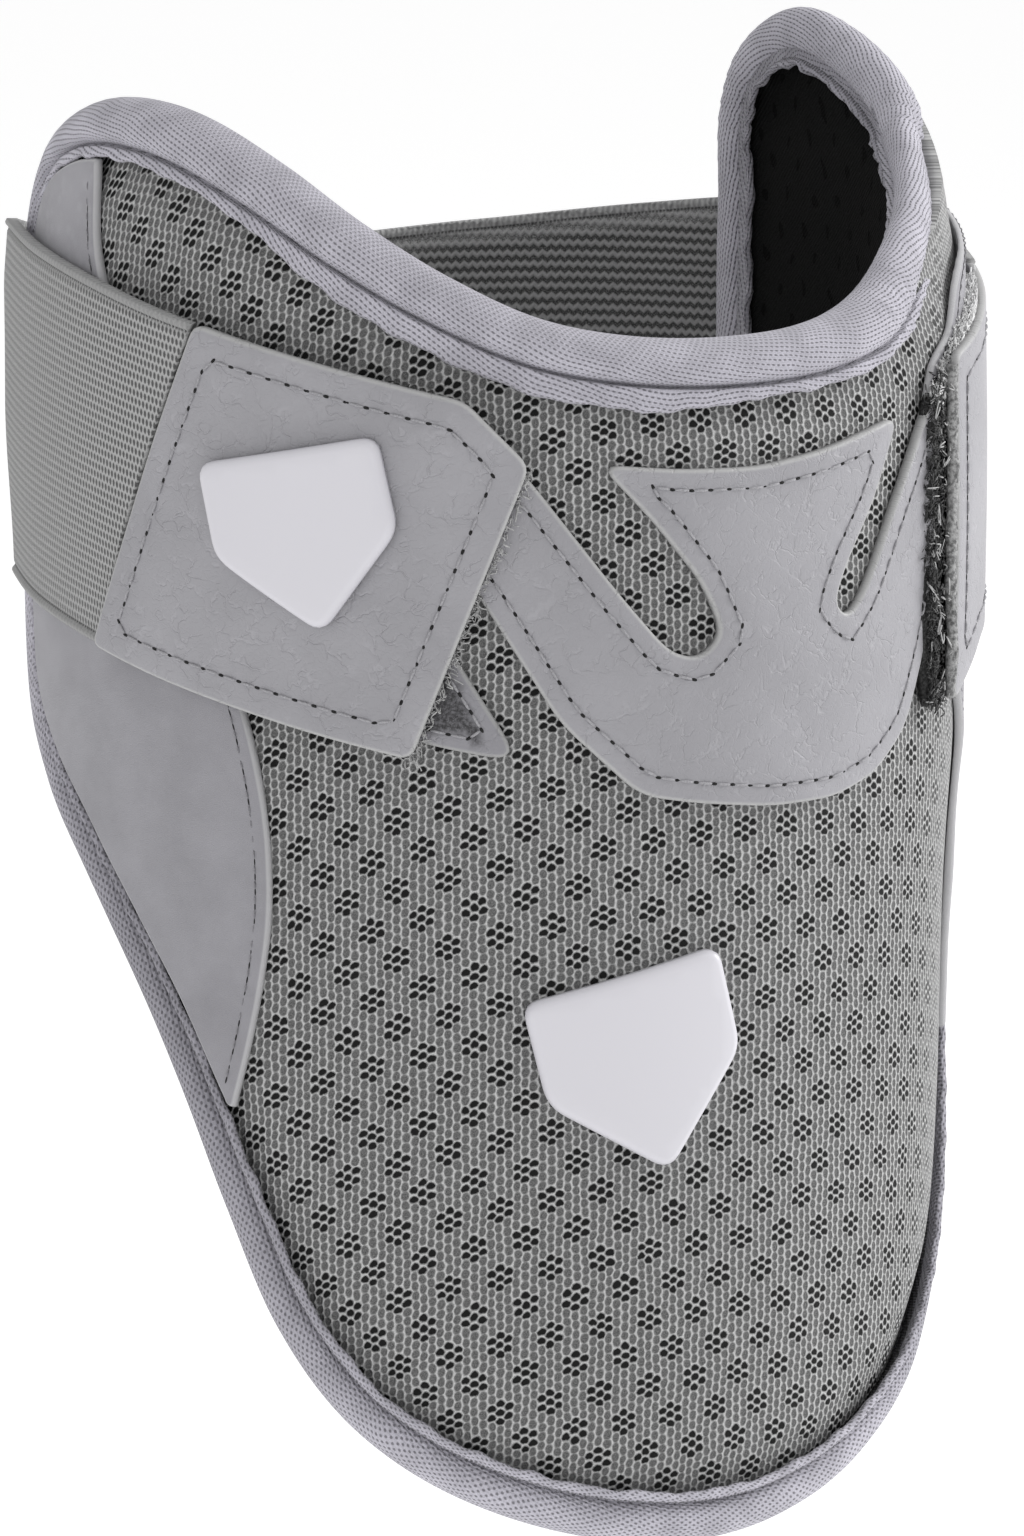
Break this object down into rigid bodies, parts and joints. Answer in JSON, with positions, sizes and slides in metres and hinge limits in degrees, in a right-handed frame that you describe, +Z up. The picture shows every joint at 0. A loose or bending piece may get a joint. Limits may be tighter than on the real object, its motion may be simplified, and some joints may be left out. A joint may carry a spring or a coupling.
{
  "type": "baseball elbow guard",
  "caption": "Padded elbow guard shell with a bound edge, perforated lining and an elastic strap with two hook-and-loop end tabs, in its worn form.",
  "frame": {"origin": "on the arm's axis at the middle of the strap, where the guard grips the arm", "axes": "+Z up along the arm towards the ears of the shell, -Y out of the guard's front, +X to the guard's right as seen from its front"},
  "size_m": [0.1318, 0.1253, 0.1946],
  "materials": {
    "spacer_mesh": "matte",
    "lining": "matte",
    "binding": "matte",
    "loop_pile": "matte",
    "synthetic_leather": "satin",
    "elastic": "matte",
    "hook_tape": "matte",
    "badge": "semi-gloss"
  },
  "bodies": {
    "root": {"mesh_cover": "spacer_mesh", "inner_lining": "lining", "edge_binding": "binding", "left_grip_panel": "loop_pile", "right_grip_panel": "loop_pile", "front_overlay": "synthetic_leather", "left_grip_patch": "loop_pile", "elastic_strap": "elastic", "left_tab": "synthetic_leather", "right_tab": "synthetic_leather", "left_hook_pad": "hook_tape", "right_hook_pad": "hook_tape", "front_badge": "badge", "tab_badge": "badge"}
  },
  "joints": []
}
